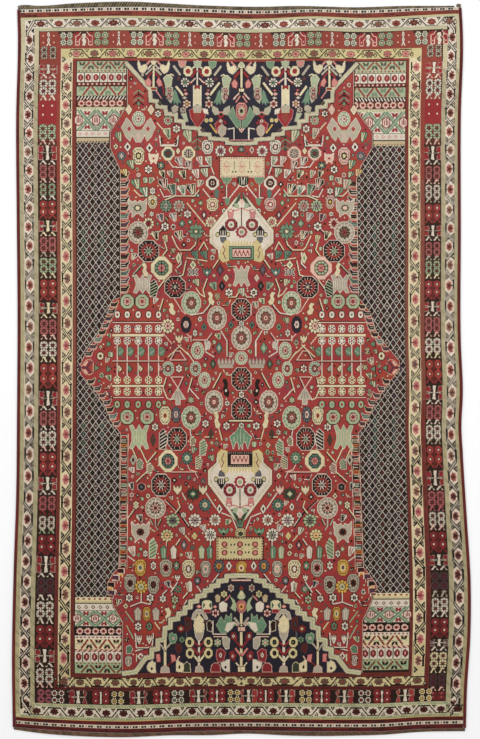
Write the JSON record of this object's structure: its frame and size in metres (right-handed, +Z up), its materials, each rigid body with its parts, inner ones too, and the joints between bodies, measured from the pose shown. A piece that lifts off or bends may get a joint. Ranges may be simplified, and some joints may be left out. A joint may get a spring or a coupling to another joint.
{
  "type": "hand-knotted wool rug",
  "caption": "Rectangular hand-knotted tribal wool rug lying flat, with vase, flower and lattice field, flat-woven ends, overcast selvedges and plaited warp ends.",
  "frame": {"origin": "centre of the rug's bounding box on the floor plane that its underside lies on", "axes": "+Z up from the underside through the pile, +Y along the rug towards the end with the corner tassel, +X across the rug to the right as seen from above"},
  "size_m": [1.6399, 2.6286, 0.008],
  "materials": {
    "wool_pile": "matte knotted wool pile in madder red, navy, ivory, yellow and green",
    "selvedge_wool": "matte overcast wool in dark madder red",
    "warp_wool": "matte plaited wool warps in brown and cream"
  },
  "bodies": {
    "root": {"woven_body": "wool_pile", "selvedge_left": "selvedge_wool", "selvedge_right": "selvedge_wool", "plait_top": "warp_wool", "plait_bottom": "warp_wool", "corner_tassel": "warp_wool"}
  },
  "joints": []
}
